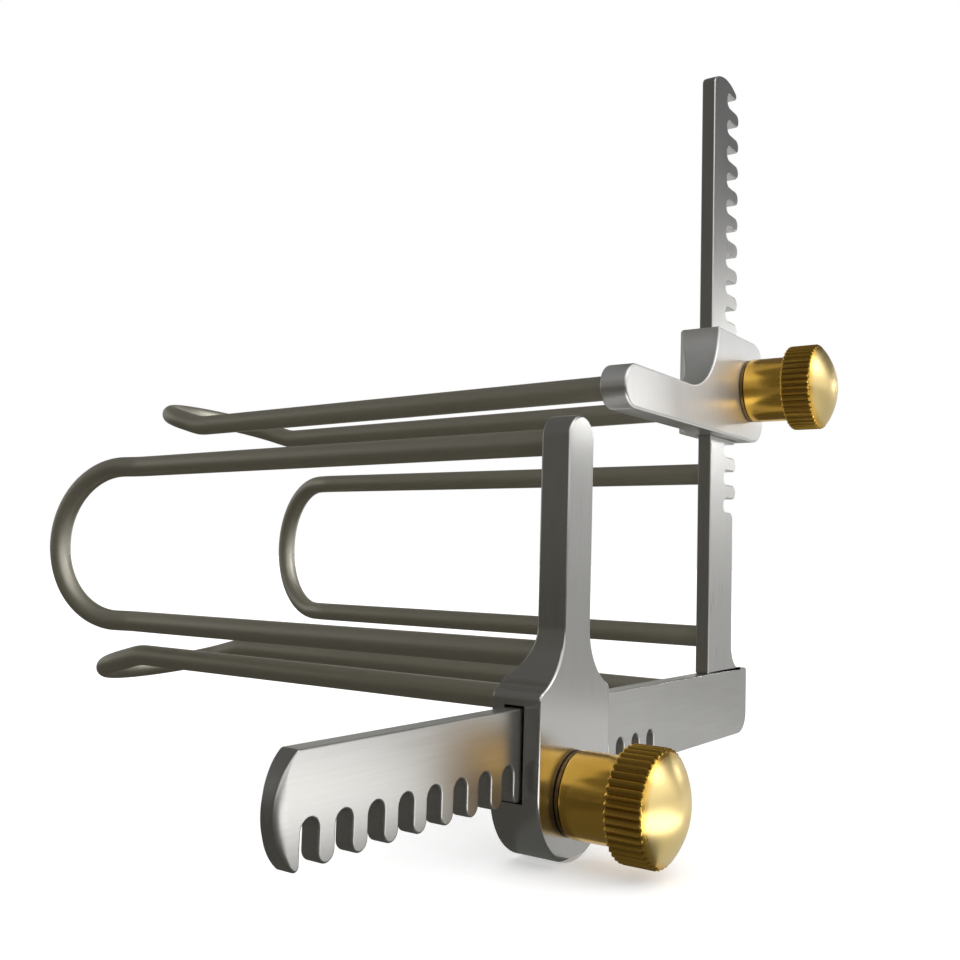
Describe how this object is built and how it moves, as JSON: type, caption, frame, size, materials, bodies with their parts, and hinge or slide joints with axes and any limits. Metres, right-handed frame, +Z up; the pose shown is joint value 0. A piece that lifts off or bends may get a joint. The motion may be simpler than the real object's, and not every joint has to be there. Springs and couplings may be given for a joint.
{
  "type": "vaginal speculum",
  "caption": "Wire-blade vaginal speculum: toothed bars joined in a corner, carriages that slide on them with a wire blade each, and knurled knobs that turn the pinions.",
  "frame": {"origin": "on the front face of the fixed frame, where the centre lines of the level bar and the upright bar cross", "axes": "+X to the operator's right along the level bar, +Y along the blades away from the operator, +Z up along the upright bar; the knobs face -Y"},
  "size_m": [0.1038, 0.1125, 0.1101],
  "materials": {
    "satin_steel": "satin stainless steel with a fine brushed grain",
    "wire_steel": "polished satin stainless steel wire",
    "gold_plate": "gold-plated brass, knurled on the rim and polished elsewhere",
    "bronze": "plain bearing bronze",
    "bright_steel": "ground stainless steel",
    "dark_steel": "dark spring steel"
  },
  "bodies": {
    "frame": {"horizontal_rack": "satin_steel", "vertical_rack": "satin_steel", "right_blade": "wire_steel", "lower_blade": "wire_steel"},
    "left_slider": {"left_carriage": "satin_steel", "left_blade": "wire_steel", "left_bush": "bronze", "left_thrust_washer": "dark_steel"},
    "left_pinion": {"left_knob": "gold_plate", "left_pinion_shaft": "bright_steel", "left_pinion_cheek": "bright_steel", "left_pinion_pin_1": "bright_steel", "left_pinion_pin_2": "bright_steel", "left_retaining_ring": "dark_steel"},
    "upper_slider": {"upper_carriage": "satin_steel", "upper_blade": "wire_steel", "upper_bush": "bronze", "upper_thrust_washer": "dark_steel"},
    "upper_pinion": {"upper_knob": "gold_plate", "upper_pinion_shaft": "bright_steel", "upper_pinion_cheek": "bright_steel", "upper_pinion_pin_1": "bright_steel", "upper_pinion_pin_2": "bright_steel", "upper_retaining_ring": "dark_steel"}
  },
  "joints": [
    {"name": "left_carriage_slide", "type": "slide", "parent": "frame", "child": "left_slider", "axis": [-1, 0, 0], "range_m": [0, 0.02996]},
    {"name": "left_knob_turn", "type": "hinge", "parent": "left_slider", "child": "left_pinion", "pos_m": [-0.04745, 0, -0.005], "axis": [0, 1, 0], "range_deg": [0, 1260]},
    {"name": "upper_carriage_slide", "type": "slide", "parent": "frame", "child": "upper_slider", "axis": [0, 0, 1], "range_m": [-0.00321, 0.03852]},
    {"name": "upper_knob_turn", "type": "hinge", "parent": "upper_slider", "child": "upper_pinion", "pos_m": [0.00545, 0, 0.0484], "axis": [0, -1, 0], "range_deg": [-135, 1620]}
  ],
  "couplings": [
    {"joint": "left_knob_turn", "follows": "left_carriage_slide", "rad_per_m": 734.02},
    {"joint": "upper_knob_turn", "follows": "upper_carriage_slide", "rad_per_m": 734.02}
  ]
}
